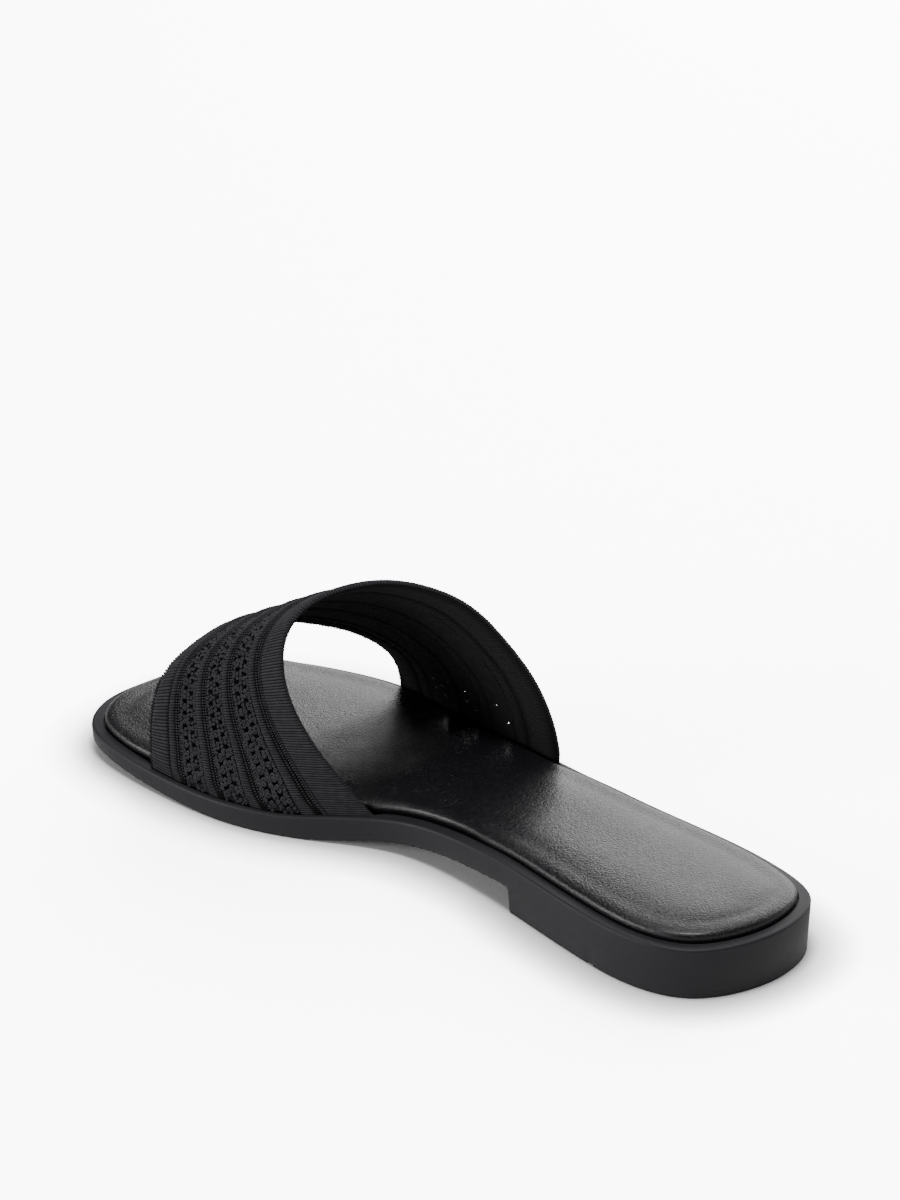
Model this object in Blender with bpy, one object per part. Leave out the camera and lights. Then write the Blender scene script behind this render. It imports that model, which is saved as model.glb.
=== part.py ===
"""Right slide sandal: moulded outsole with a low block heel, padded insole and a knitted strap.

Metres, +Z up, +Y to the toe, +X to the outer side of the foot. The origin is on the floor under
the middle of the outline.
"""

import math

import bmesh
import bpy
import numpy as np

MM = 0.001

# Outsole
SOLE_LENGTH = 258.0 * MM
BALL_WIDTH = 92.5 * MM
HEEL_RIM = 17.8 * MM
BREAST_RIM = 17.3 * MM
FOREPART_THICKNESS = 7.5 * MM
TOE_THICKNESS = 4.6 * MM
WAIST_THICKNESS = 8.4 * MM
TOE_SPRING = 5.0 * MM
HEEL_BLOCK_LENGTH = 87.4 * MM
BREAST_LEAN = 0.2 * MM
BREAST_FILLET = 1.6 * MM
WALL_DRAFT = 0.05
TREAD_EDGE = 0.5 * MM
RIM_ROUND = 0.9 * MM
SHELF_WIDTH = 3.9 * MM
SHELF_LIP = 0.2 * MM
RECESS_DEPTH = 1.2 * MM
HEEL_GROOVE_FROM_BACK = 50.0 * MM
HEEL_GROOVE_WIDTH = 3.0 * MM
HEEL_GROOVE_DEPTH = 0.6 * MM

# Insole
INSOLE_GAP = 0.5 * MM
INSOLE_RISE = 3.9 * MM
INSOLE_EDGE_ROUND = 4.2 * MM
INSOLE_UNDER_ROUND = 0.8 * MM
INSOLE_SIDE_BULGE = 0.2 * MM
INSOLE_RELIEF = 0.9 * MM
INSOLE_RELIEF_FADE = 14.0 * MM
HEEL_DISH = 1.0 * MM
HEEL_DISH_CENTRE_SHARE = 0.17
HEEL_DISH_SPREAD_SHARE = 0.13

# Strap
STRAP_MEDIAL_FRONT = 221.5 * MM
STRAP_MEDIAL_LENGTH = 78.2 * MM
STRAP_LATERAL_FRONT = 190.3 * MM
STRAP_LATERAL_LENGTH = 77.6 * MM
FRONT_RISE = 34.3 * MM
REAR_RISE = 60.1 * MM
FRONT_SWEEP = 14.7 * MM
REAR_SWEEP = 43.6 * MM
WALL_INSET = 2.9 * MM
KNIT_INNER = 0.7 * MM
RIB_HEIGHT = 1.6 * MM
BAND_HEIGHT = 1.4 * MM
OPENWORK_HEIGHT = 0.4 * MM
TAB_THICKNESS = 1.0 * MM
TAB_LENGTH = 9.0 * MM
TAB_BEND = 1.3 * MM
SWELL_START = 0.8 * MM
SWELL_HEIGHT = 4.5 * MM
FOOT_HOLD_POWER = 8

# Between touching pieces
CLEARANCE = 0.3 * MM
SEAT_CUT_ABOVE = 3.0 * MM

# Mesh density
OUTLINE_SAMPLES = 2400
SOLE_STATIONS = 52
INSOLE_STATIONS = 46
STRAP_TURNS = 44
POCKET_STATIONS = 24
STATION_MARGIN = 1.5 * MM
ROUND_MIDDLE_SHARE = 0.3
FOOT_ROW_SHARE = 0.35
SAME_PLACE = 1e-6
SMOOTH_ANGLE = math.radians(35)

# The outsole's plan, anticlockwise from the back of the heel: share of the length, share of the ball width
OUTLINE = (
    {"along": 0.000, "across": 0.030},
    {"along": 0.020, "across": 0.200},
    {"along": 0.072, "across": 0.268},
    {"along": 0.158, "across": 0.304},
    {"along": 0.275, "across": 0.318},
    {"along": 0.390, "across": 0.348},
    {"along": 0.505, "across": 0.415},
    {"along": 0.620, "across": 0.491},
    {"along": 0.735, "across": 0.537},
    {"along": 0.837, "across": 0.479},
    {"along": 0.919, "across": 0.357},
    {"along": 0.970, "across": 0.181},
    {"along": 0.993, "across": -0.031},
    {"along": 1.000, "across": -0.238},
    {"along": 0.977, "across": -0.369},
    {"along": 0.920, "across": -0.434},
    {"along": 0.826, "across": -0.461},
    {"along": 0.732, "across": -0.452},
    {"along": 0.633, "across": -0.366},
    {"along": 0.530, "across": -0.244},
    {"along": 0.423, "across": -0.243},
    {"along": 0.313, "across": -0.298},
    {"along": 0.214, "across": -0.354},
    {"along": 0.136, "across": -0.376},
    {"along": 0.059, "across": -0.318},
    {"along": 0.015, "across": -0.160},
)

# The rim seen from the side: climb is the share of the way from the forepart to the breast of the heel
RIM_CLIMB = (
    {"along": 0.333, "climb": 1.00},
    {"along": 0.410, "climb": 0.86},
    {"along": 0.504, "climb": 0.59},
    {"along": 0.600, "climb": 0.21},
    {"along": 0.680, "climb": 0.00},
)
TOE_SPRING_START = 0.72
TOE_SPRING_POWER = 1.8

# The strap's two edges over the foot, from the inner side to the outer: share of half the span,
# share of the rise, and share of the sweep towards the toe
STRAP_ARCH = (
    {"turn": 0.000, "front": (-1.00, 0.00, 0.00), "rear": (-1.00, 0.00, 0.00)},
    {"turn": 0.125, "front": (-0.93, 0.42, 0.22), "rear": (-1.12, 0.39, 0.53)},
    {"turn": 0.250, "front": (-0.74, 0.74, 0.60), "rear": (-0.95, 0.71, 0.88)},
    {"turn": 0.375, "front": (-0.43, 0.93, 0.86), "rear": (-0.58, 0.905, 1.00)},
    {"turn": 0.500, "front": (-0.03, 1.00, 1.00), "rear": (-0.03, 1.00, 0.93)},
    {"turn": 0.625, "front": (0.37, 0.90, 0.75), "rear": (0.49, 0.95, 0.70)},
    {"turn": 0.750, "front": (0.71, 0.71, 0.34), "rear": (0.79, 0.745, 0.41)},
    {"turn": 0.875, "front": (0.93, 0.41, 0.00), "rear": (0.92, 0.385, 0.07)},
    {"turn": 1.000, "front": (1.00, 0.00, 0.00), "rear": (1.00, 0.00, 0.00)},
)

# The knit from the toe side to the heel side: where each band ends, as a share of the strap's length
KNIT_BANDS = (
    {"name": "front_band", "end": 0.120, "form": "edge"},
    {"name": "rib_1", "end": 0.200, "form": "rib"},
    {"name": "openwork_1", "end": 0.316, "form": "open"},
    {"name": "rib_2", "end": 0.400, "form": "rib"},
    {"name": "openwork_2", "end": 0.516, "form": "open"},
    {"name": "rib_3", "end": 0.600, "form": "rib"},
    {"name": "openwork_3", "end": 0.730, "form": "open"},
    {"name": "rib_4", "end": 0.820, "form": "rib"},
    {"name": "rear_band", "end": 1.000, "form": "edge"},
)

# How each form of knit swells across its own width: share of the width, share of its height
RIB_SWELL = ((0.00, 0.20), (0.14, 0.78), (0.50, 1.00), (0.86, 0.78), (1.00, 0.20))
OPEN_SWELL = ((0.50, 1.00),)
FRONT_SWELL = ((0.10, 0.80), (0.45, 1.00), (0.85, 0.80))
REAR_SWELL = ((0.10, 0.50), (0.30, 0.92), (0.62, 1.00), (0.90, 0.80))

# The strap's free edges: share of its length, share of the band's height outside or of the knit inside
FRONT_EDGE = ((0.003, -0.55), (0.000, 0.15), (0.005, 0.60))
REAR_EDGE = ((0.995, 0.55), (1.000, 0.15), (0.997, -0.55))
INNER_FACE = (0.985, 0.82, 0.66, 0.5, 0.34, 0.18, 0.015)

# The insole's rounded edge: share of its rounding inwards, share of the rise below the lip, share of
# the way from the lip's height to the top's
INSOLE_ROLL = (
    {"inward": 0.00, "below": 0.52, "to_top": 0.0},
    {"inward": 0.16, "below": 0.27, "to_top": 0.0},
    {"inward": 0.42, "below": 0.09, "to_top": 0.0},
    {"inward": 0.80, "below": 0.01, "to_top": 0.0},
    {"inward": 1.30, "below": 0.00, "to_top": 0.3},
    {"inward": 2.10, "below": 0.00, "to_top": 1.0},
)
INSOLE_BULGE_SHARE = 0.78

FINISHES = {
    "outsole_rubber": {"colour": (0.022, 0.022, 0.024), "roughness": 0.55},
    "insole_leather": {"colour": (0.016, 0.016, 0.017), "roughness": 0.38},
    "strap_knit": {"colour": (0.012, 0.012, 0.013), "roughness": 0.85},
}


def steady_curve(xs, ys, x):
    """A smooth curve through the rows that doesn't overshoot them."""
    xs, ys = np.asarray(xs, float), np.asarray(ys, float)
    step, rise = np.diff(xs), np.diff(ys)
    slope = rise / step
    tangent = np.zeros(len(xs))
    for i in range(1, len(xs) - 1):
        if slope[i - 1] * slope[i] > 0:
            tangent[i] = 2 * slope[i - 1] * slope[i] / (slope[i - 1] + slope[i])
    x = np.clip(x, xs[0], xs[-1])
    i = int(np.clip(np.searchsorted(xs, x) - 1, 0, len(step) - 1))
    u = (x - xs[i]) / step[i]
    return float(
        ys[i] * (2 * u**3 - 3 * u**2 + 1)
        + tangent[i] * step[i] * (u**3 - 2 * u**2 + u)
        + ys[i + 1] * (3 * u**2 - 2 * u**3)
        + tangent[i + 1] * step[i] * (u**3 - u**2)
    )


def natural_curve(knots, rows, x):
    """A natural cubic spline through rows of numbers at evenly spaced knots."""
    rows = np.asarray(rows, float)
    count = len(rows)
    step = knots[1] - knots[0]
    system = np.eye(count)
    right = np.zeros_like(rows)
    for i in range(1, count - 1):
        system[i, i - 1 : i + 2] = (1, 4, 1)
        right[i] = 6 * (rows[i - 1] - 2 * rows[i] + rows[i + 1]) / step**2
    bend = np.linalg.solve(system, right)
    i = int(np.clip((x - knots[0]) / step, 0, count - 2))
    b = (x - knots[i]) / step
    a = 1 - b
    return (
        a * rows[i]
        + b * rows[i + 1]
        + ((a**3 - a) * bend[i] + (b**3 - b) * bend[i + 1]) * step**2 / 6
    )


def closed_curve(points, samples):
    """A periodic cubic spline through the points, by chord length, and its outward normals."""
    points = np.asarray(points, float)
    count = len(points)
    chord = np.linalg.norm(np.roll(points, -1, axis=0) - points, axis=1)
    system = np.zeros((count, count))
    right = np.zeros_like(points)
    for i in range(count):
        before, after = (i - 1) % count, (i + 1) % count
        system[i, before] += chord[before]
        system[i, i] += 2 * (chord[before] + chord[i])
        system[i, after] += chord[i]
        right[i] = 6 * (
            (points[after] - points[i]) / chord[i] - (points[i] - points[before]) / chord[before]
        )
    bend = np.linalg.solve(system, right)
    starts = np.concatenate([[0], np.cumsum(chord)])
    places, slopes = [], []
    for distance in np.linspace(0, starts[-1], samples, endpoint=False):
        i = int(np.searchsorted(starts, distance, side="right") - 1)
        j = (i + 1) % count
        h = chord[i]
        b = (distance - starts[i]) / h
        a = 1 - b
        places.append(
            a * points[i]
            + b * points[j]
            + ((a**3 - a) * bend[i] + (b**3 - b) * bend[j]) * h**2 / 6
        )
        slopes.append(
            (points[j] - points[i]) / h
            + ((3 * b**2 - 1) * bend[j] - (3 * a**2 - 1) * bend[i]) * h / 6
        )
    places, slopes = np.array(places), np.array(slopes)
    normals = np.stack([slopes[:, 1], -slopes[:, 0]], axis=1)
    return places, normals / np.linalg.norm(normals, axis=1, keepdims=True)


class Outline:
    """The plan of the outsole: at a distance from the heel, a point on either side and its normal."""

    def __init__(self):
        rows = [(row["across"] * BALL_WIDTH, row["along"] * SOLE_LENGTH) for row in OUTLINE]
        places, normals = closed_curve(rows, OUTLINE_SAMPLES)
        back, toe = int(places[:, 1].argmin()), int(places[:, 1].argmax())
        places = np.roll(places, -back, axis=0)
        normals = np.roll(normals, -back, axis=0)
        toe = (toe - back) % OUTLINE_SAMPLES
        self.middle_x = (places[:, 0].min() + places[:, 0].max()) / 2
        self.back_y, self.toe_y = places[0, 1], places[toe, 1]
        self.length = self.toe_y - self.back_y
        inner = np.append(places[toe:], places[:1], axis=0)
        inner_normals = np.append(normals[toe:], normals[:1], axis=0)
        self.sides = {
            "lateral": (places[: toe + 1], normals[: toe + 1]),
            "medial": (inner[::-1], inner_normals[::-1]),
        }

    def at(self, side, from_heel, inset):
        """Point in the object's own frame, moved in from the edge."""
        places, normals = self.sides[side]
        y = self.back_y + from_heel
        x = np.interp(y, places[:, 1], places[:, 0])
        normal = np.array(
            [np.interp(y, places[:, 1], normals[:, 0]), np.interp(y, places[:, 1], normals[:, 1])]
        )
        normal /= np.linalg.norm(normal)
        moved = np.array([x, y]) - normal * inset
        return np.array(
            [moved[0] - self.middle_x, moved[1] - self.back_y - self.length / 2]
        )


def toe_spring(from_heel):
    start = TOE_SPRING_START * SOLE_LENGTH
    share = max(0.0, from_heel - start) / (SOLE_LENGTH - start)
    return TOE_SPRING * share**TOE_SPRING_POWER


def rim_height(from_heel):
    """Top of the outsole's rim above the floor."""
    along = from_heel / SOLE_LENGTH
    breast = HEEL_BLOCK_LENGTH / SOLE_LENGTH
    if along <= breast:
        return HEEL_RIM + (BREAST_RIM - HEEL_RIM) * (along / breast) ** 2
    climb = steady_curve(
        [row["along"] for row in RIM_CLIMB], [row["climb"] for row in RIM_CLIMB], along
    )
    toe_share = max(0.0, along - TOE_SPRING_START) / (1 - TOE_SPRING_START)
    thickness = FOREPART_THICKNESS + (TOE_THICKNESS - FOREPART_THICKNESS) * toe_share
    return thickness + toe_spring(from_heel) + climb * (BREAST_RIM - FOREPART_THICKNESS)


def under_height(from_heel):
    """Underside of the waist and the forepart above the floor, ahead of the heel block."""
    lifted = max(0.0, rim_height(from_heel) - WAIST_THICKNESS - toe_spring(from_heel))
    return lifted + toe_spring(from_heel)


def spread(count, length):
    """Distances from the heel, close together at both ends."""
    return [length * (1 - math.cos(math.pi * i / (count - 1))) / 2 for i in range(count)]


def sole_stations(length):
    """Rows of (distance from the heel, height of the underside), with the breast and the tread groove."""
    breast = HEEL_BLOCK_LENGTH
    ceiling = under_height(breast + BREAST_LEAN + BREAST_FILLET)
    middle = ROUND_MIDDLE_SHARE * BREAST_FILLET
    detail = [
        (breast - TREAD_EDGE, 0.0),
        (breast, TREAD_EDGE),
        (breast + BREAST_LEAN, ceiling - BREAST_FILLET),
        (breast + BREAST_LEAN + middle, ceiling - middle),
        (breast + BREAST_LEAN + BREAST_FILLET, ceiling),
    ]
    half, flank = HEEL_GROOVE_WIDTH / 2, HEEL_GROOVE_DEPTH / 2
    groove = [
        (HEEL_GROOVE_FROM_BACK - half, 0.0),
        (HEEL_GROOVE_FROM_BACK - half + flank, HEEL_GROOVE_DEPTH),
        (HEEL_GROOVE_FROM_BACK + half - flank, HEEL_GROOVE_DEPTH),
        (HEEL_GROOVE_FROM_BACK + half, 0.0),
    ]
    rows = []
    for y in spread(SOLE_STATIONS, length):
        near_breast = breast - TREAD_EDGE - STATION_MARGIN < y < detail[-1][0] + STATION_MARGIN
        near_groove = groove[0][0] - STATION_MARGIN < y < groove[-1][0] + STATION_MARGIN
        if not near_breast and not near_groove:
            rows.append((y, 0.0 if y < breast else under_height(y)))
    return sorted(rows + detail + groove)


def ring(outline, stations, inset, heights):
    """A closed loop of points round the outline: up the outer side to the toe and back down the inner."""
    last = len(stations) - 1
    order = [("lateral", i) for i in range(last + 1)] + [("medial", i) for i in range(last - 1, 0, -1)]
    points = []
    for side, i in order:
        x, y = outline.at(side, stations[i], inset[i])
        points.append((x, y, heights[i]))
    return points


def loft(rings):
    """A closed body from stacked rings, its first and last closed by a ladder of faces across."""
    body = bmesh.new()
    loops = [[body.verts.new(point) for point in points] for points in rings]
    size = len(loops[0])
    for lower, upper in zip(loops, loops[1:]):
        for i in range(size):
            j = (i + 1) % size
            body.faces.new((lower[i], lower[j], upper[j], upper[i]))
    for loop in (loops[0], loops[-1]):
        for i in range(size // 2):
            corners = [loop[i], loop[i + 1], loop[(size - i - 1) % size], loop[(size - i) % size]]
            distinct = list(dict.fromkeys(corners))
            body.faces.new(distinct)
    return body


def finished_mesh(name, body):
    """A mesh from the body, with coincident points merged and its faces pointing out."""
    bmesh.ops.remove_doubles(body, verts=body.verts, dist=SAME_PLACE)
    bmesh.ops.dissolve_degenerate(body, edges=body.edges, dist=SAME_PLACE)
    bmesh.ops.triangulate(body, faces=body.faces, quad_method="SHORT_EDGE")
    bmesh.ops.recalc_face_normals(body, faces=body.faces)
    mesh = bpy.data.meshes.new(name)
    body.to_mesh(mesh)
    body.free()
    mesh.shade_smooth()
    mesh.set_sharp_from_angle(angle=SMOOTH_ANGLE)
    return mesh


def place(name, mesh, collection, material=None):
    part = bpy.data.objects.new(name, mesh)
    collection.objects.link(part)
    if material:
        mesh.materials.append(material)
    return part


def plain_material(name):
    material = bpy.data.materials.new(name)
    material.use_nodes = True
    shader = material.node_tree.nodes["Principled BSDF"]
    shader.inputs["Base Color"].default_value = (*FINISHES[name]["colour"], 1.0)
    shader.inputs["Roughness"].default_value = FINISHES[name]["roughness"]
    return material


def recess_floor(from_heel):
    return rim_height(from_heel) - RECESS_DEPTH


def outsole_body(outline):
    """The moulded unit: tread, drafted wall, rounded rim, flat shelf and the recess for the insole."""
    rows = sole_stations(outline.length)
    stations = [row[0] for row in rows]
    under = np.array([row[1] for row in rows])
    rim = np.array([rim_height(y) for y in stations])
    draft = WALL_DRAFT * (rim - under)
    edge = np.full(len(rows), TREAD_EDGE)
    same = np.ones(len(rows))
    layers = [
        (draft + edge, under),
        (draft + ROUND_MIDDLE_SHARE * edge, under + ROUND_MIDDLE_SHARE * edge),
        (draft, under + edge),
        (0.0 * same, rim - RIM_ROUND),
        (ROUND_MIDDLE_SHARE * RIM_ROUND * same, rim - ROUND_MIDDLE_SHARE * RIM_ROUND),
        (RIM_ROUND * same, rim),
        ((SHELF_WIDTH - SHELF_LIP) * same, rim),
        (SHELF_WIDTH * same, rim - SHELF_LIP),
        (SHELF_WIDTH * same, rim - RECESS_DEPTH),
    ]
    return loft([ring(outline, stations, inset, heights) for inset, heights in layers])


def insole_inset(from_heel):
    """How far the insole's side stands in from the outline: a little more where the strap comes down."""
    first, last, fade = STRAP_LATERAL_FRONT - STRAP_LATERAL_LENGTH, STRAP_MEDIAL_FRONT, INSOLE_RELIEF_FADE
    under_strap = steady_curve([first - fade, first, last, last + fade], [0, 1, 1, 0], from_heel)
    return SHELF_WIDTH + INSOLE_GAP + INSOLE_RELIEF * under_strap


def insole_top(from_heel):
    """Height of the insole's surface away from its edge, with a shallow dish for the heel."""
    along = from_heel / SOLE_LENGTH
    dish = HEEL_DISH * math.exp(-(((along - HEEL_DISH_CENTRE_SHARE) / HEEL_DISH_SPREAD_SHARE) ** 2))
    return rim_height(from_heel) + INSOLE_RISE - dish


def insole_body(outline):
    """The padded footbed, rounded all round and set down in the outsole's recess."""
    stations = spread(INSOLE_STATIONS, outline.length)
    floor = np.array([recess_floor(y) for y in stations]) + CLEARANCE
    top = np.array([insole_top(y) for y in stations])
    lip = np.array([rim_height(y) for y in stations]) + INSOLE_RISE
    side = np.array([insole_inset(y) for y in stations])
    under, curve = INSOLE_UNDER_ROUND, INSOLE_EDGE_ROUND
    layers = [
        (side + under, floor),
        (side + ROUND_MIDDLE_SHARE * under, floor + ROUND_MIDDLE_SHARE * under),
        (side, floor + under),
        (side - INSOLE_SIDE_BULGE, lip - INSOLE_BULGE_SHARE * INSOLE_RISE),
    ]
    for row in INSOLE_ROLL:
        level = (1 - row["to_top"]) * lip + row["to_top"] * top
        layers.append((side + row["inward"] * curve, level - row["below"] * INSOLE_RISE))
    return loft([ring(outline, stations, inset, heights) for inset, heights in layers])


def strap_side(side):
    """Where the strap starts at the toe end on one side, and its length along that side."""
    if side == "medial":
        return STRAP_MEDIAL_FRONT, STRAP_MEDIAL_LENGTH
    return STRAP_LATERAL_FRONT, STRAP_LATERAL_LENGTH


def foot_point(outline, side, share, inset, above_floor):
    """A point of the strap's hidden foot, at a share of the strap's length from its toe edge."""
    front, length = strap_side(side)
    from_heel = front - share * length
    x, y = outline.at(side, from_heel, inset)
    return np.array([x, y, recess_floor(y + outline.length / 2) + above_floor])


def arch_base(outline, side, share):
    return foot_point(outline, side, share, WALL_INSET, TAB_BEND - TAB_THICKNESS / 2)


def edge_arch(outline, which, turn):
    """One edge of the strap over the foot."""
    share = 0.0 if which == "front" else 1.0
    rise, sweep = (FRONT_RISE, FRONT_SWEEP) if which == "front" else (REAR_RISE, REAR_SWEEP)
    inner, outer = (arch_base(outline, side, share) for side in ("medial", "lateral"))
    knots = [row["turn"] for row in STRAP_ARCH]
    across, up, ahead = natural_curve(knots, [row[which] for row in STRAP_ARCH], turn)
    return (inner + outer) / 2 + across * (outer - inner) / 2 + np.array([0, ahead * sweep, up * rise])


def arch_point(outline, share, turn):
    """The middle of the strap's wall: straight from edge to edge, but following the sole at its foot."""
    front, rear = (edge_arch(outline, which, turn) for which in ("front", "rear"))
    point = front + (rear - front) * share
    side = "medial" if turn < 0.5 else "lateral"
    level = abs(2 * turn - 1)
    straight = arch_base(outline, side, 0.0) * (1 - share) + arch_base(outline, side, 1.0) * share
    on_sole = arch_base(outline, side, min(max(share, 0.0), 1.0))
    if 0.0 < share < 1.0:
        point = point + (on_sole - straight) * (1 - (1 - level**FOOT_HOLD_POWER) ** 2)
    return point


def strap_rows():
    """Rows along the strap from one hidden end to the other: a foot row (side, inset, height) or a turn."""
    bend, floor = TAB_BEND, -TAB_THICKNESS / 2
    centre = WALL_INSET + bend
    foot = [(centre + TAB_LENGTH, floor), (centre + 0.5 * TAB_LENGTH, floor), (centre, floor)]
    for angle in (30, 60):
        a = math.radians(angle)
        foot.append((centre - bend * math.sin(a), floor + bend * (1 - math.cos(a))))
    rows = [("medial", inset, height) for inset, height in foot]
    turns = [i / (STRAP_TURNS - 1) for i in range(STRAP_TURNS)]
    quick = FOOT_ROW_SHARE * turns[1]
    rows += [("turn", turn, 0.0) for turn in [0.0, quick, *turns[1:-1], 1.0 - quick, 1.0]]
    rows += [("lateral", inset, height) for inset, height in reversed(foot)]
    return rows


def row_point(outline, row, share):
    kind, first, second = row
    if kind == "turn":
        return arch_point(outline, share, first)
    return foot_point(outline, kind, share, first, second)


def knit_section():
    """The wall's section across the strap: (share of its length, outward height), once round."""
    outer, start = [], 0.0
    for band in KNIT_BANDS:
        width = band["end"] - start
        if band["form"] == "open":
            swell, height = OPEN_SWELL, OPENWORK_HEIGHT
        elif band["form"] == "rib":
            swell, height = RIB_SWELL, RIB_HEIGHT
        else:
            swell, height = (FRONT_SWELL if start == 0.0 else REAR_SWELL), BAND_HEIGHT
        outer += [(start + at * width, share * height) for at, share in swell]
        start = band["end"]
    kept = [outer[0]]
    for point in outer[1:]:
        if point[0] - kept[-1][0] > SAME_PLACE:
            kept.append(point)
    front, rear = (
        [(at, share * (BAND_HEIGHT if share > 0 else KNIT_INNER)) for at, share in edge]
        for edge in (FRONT_EDGE, REAR_EDGE)
    )
    return front + kept + rear + [(at, -KNIT_INNER) for at in INNER_FACE]


def strap_body(outline):
    """The knitted wall, swept from the hidden tab on the inner side to the one on the outer."""
    section = knit_section()
    rows = strap_rows()
    tab_half = TAB_THICKNESS / 2
    shares = [point[0] for point in section]
    grid = np.array([[row_point(outline, row, share) for share in shares] for row in rows])
    lengthwise = np.empty_like(grid)
    for r, row in enumerate(rows):
        lengthwise[r] = row_point(outline, row, 1.0) - row_point(outline, row, 0.0)
    around = np.gradient(grid, axis=0)
    outward = np.cross(around, lengthwise)
    outward /= np.linalg.norm(outward, axis=2, keepdims=True)
    if outward[len(rows) // 2, len(section) // 2, 2] < 0:
        outward = -outward
    base = {side: [arch_base(outline, side, at)[2] for at in shares] for side in ("medial", "lateral")}
    body = bmesh.new()
    loops = []
    for r, row in enumerate(rows):
        loop = []
        for s, (share, height) in enumerate(section):
            full = 0.0
            if row[0] == "turn":
                side = "medial" if row[1] < 0.5 else "lateral"
                above = grid[r, s, 2] - base[side][s] - SWELL_START
                full = min(1.0, max(0.0, above / SWELL_HEIGHT))
                full = full * full * (3 - 2 * full)
            flat = tab_half if height > 0 else -tab_half
            if share in (0.0, 1.0):
                flat = 0.0
            offset = flat + (height - flat) * full
            loop.append(body.verts.new(grid[r, s] + outward[r, s] * offset))
        loops.append(loop)
    size = len(section)
    for first, second in zip(loops, loops[1:]):
        for i in range(size):
            j = (i + 1) % size
            body.faces.new((first[i], first[j], second[j], second[i]))
    for loop in (loops[0], loops[-1]):
        body.faces.new(loop)
    return body


def pocket_body(outline, side):
    """Cutter for the seat that takes the strap's foot, in the shelf and under the insole."""
    outer = WALL_INSET - TAB_THICKNESS / 2 - 2 * CLEARANCE
    inner = WALL_INSET + TAB_BEND + TAB_LENGTH + CLEARANCE
    floor = -TAB_THICKNESS - CLEARANCE
    ceiling = RECESS_DEPTH + SEAT_CUT_ABOVE
    end = 2 * CLEARANCE / STRAP_MEDIAL_LENGTH
    body = bmesh.new()
    loops = []
    for i in range(POCKET_STATIONS):
        share = -end + (1 + 2 * end) * i / (POCKET_STATIONS - 1)
        corners = ((outer, floor), (inner, floor), (inner, ceiling), (outer, ceiling))
        loops.append(
            [body.verts.new(foot_point(outline, side, share, inset, z)) for inset, z in corners]
        )
    for first, second in zip(loops, loops[1:]):
        for i in range(4):
            j = (i + 1) % 4
            body.faces.new((first[i], first[j], second[j], second[i]))
    for loop in (loops[0], loops[-1]):
        body.faces.new(loop)
    return body


def cut(part, cutter):
    cutter.hide_render = True
    cutter.display_type = "WIRE"
    modifier = part.modifiers.new("cut_" + cutter.name, "BOOLEAN")
    modifier.operation = "DIFFERENCE"
    modifier.object = cutter


def new_collection(name):
    collection = bpy.data.collections.new(name)
    bpy.context.scene.collection.children.link(collection)
    return collection


def main():
    for old in list(bpy.data.objects):
        bpy.data.objects.remove(old, do_unlink=True)
    parts, cutters = new_collection("slide_sandal"), new_collection("cutters")
    rubber, leather, yarn = (plain_material(name) for name in FINISHES)

    outline = Outline()
    outsole = place("outsole", finished_mesh("outsole", outsole_body(outline)), parts, rubber)
    for side in ("medial", "lateral"):
        name = "strap_seat_" + side
        cut(outsole, place(name, finished_mesh(name, pocket_body(outline, side)), cutters))
    place("insole", finished_mesh("insole", insole_body(outline)), parts, leather)
    place("strap", finished_mesh("strap", strap_body(outline)), parts, yarn)


main()
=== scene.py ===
import math

import bmesh
import bpy
import numpy as np
from mathutils import Matrix, Vector


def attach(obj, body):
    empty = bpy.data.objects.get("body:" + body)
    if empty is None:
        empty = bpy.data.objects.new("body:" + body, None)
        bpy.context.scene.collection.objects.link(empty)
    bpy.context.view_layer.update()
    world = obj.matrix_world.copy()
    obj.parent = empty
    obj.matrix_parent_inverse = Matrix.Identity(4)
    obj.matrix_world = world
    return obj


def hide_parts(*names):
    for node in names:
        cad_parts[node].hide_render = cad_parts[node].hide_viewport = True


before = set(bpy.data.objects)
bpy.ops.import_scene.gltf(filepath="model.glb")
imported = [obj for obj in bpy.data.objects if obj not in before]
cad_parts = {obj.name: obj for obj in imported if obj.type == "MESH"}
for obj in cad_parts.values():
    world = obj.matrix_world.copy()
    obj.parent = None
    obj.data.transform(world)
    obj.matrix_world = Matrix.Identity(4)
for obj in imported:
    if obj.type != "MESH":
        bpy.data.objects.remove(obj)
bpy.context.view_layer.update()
mm = 0.001
samePlace = 1e-6  # points closer than this are one
roundMiddle = 0.3  # where the middle of a small round stands, as a share of its size


def smooth(share):
    # eases a share in and out
    return share * share * (3 - 2 * share)


def fromLeast(least, full):
    # grows from the least at the strap's feet to 1 where it is full
    return least + (1 - least) * full


def unitRows(rows):
    return rows / np.linalg.norm(rows, axis=1, keepdims=True)


def monotoneCurve(xs, ys, x):
    xs, ys, x = np.asarray(xs, float), np.asarray(ys, float), np.asarray(x, float)
    step = np.diff(xs)
    slope = np.diff(ys) / step
    tangent = np.zeros(len(xs))
    same = slope[:-1] * slope[1:] > 0
    tangent[1:-1][same] = (2 * slope[:-1] * slope[1:] / np.where(same, slope[:-1] + slope[1:], 1))[same]
    x = np.clip(x, xs[0], xs[-1])
    i = np.clip(np.searchsorted(xs, x) - 1, 0, len(step) - 1)
    u = (x - xs[i]) / step[i]
    return (
        ys[i] * (2 * u**3 - 3 * u**2 + 1) + tangent[i] * step[i] * (u**3 - 2 * u**2 + u)
        + ys[i + 1] * (3 * u**2 - 2 * u**3) + tangent[i + 1] * step[i] * (u**3 - u**2)
    )


def cubicSpan(rows, bend, i, j, b, step):
    a = 1 - b
    return a * rows[i] + b * rows[j] + ((a**3 - a) * bend[i] + (b**3 - b) * bend[j]) * step**2 / 6


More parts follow.
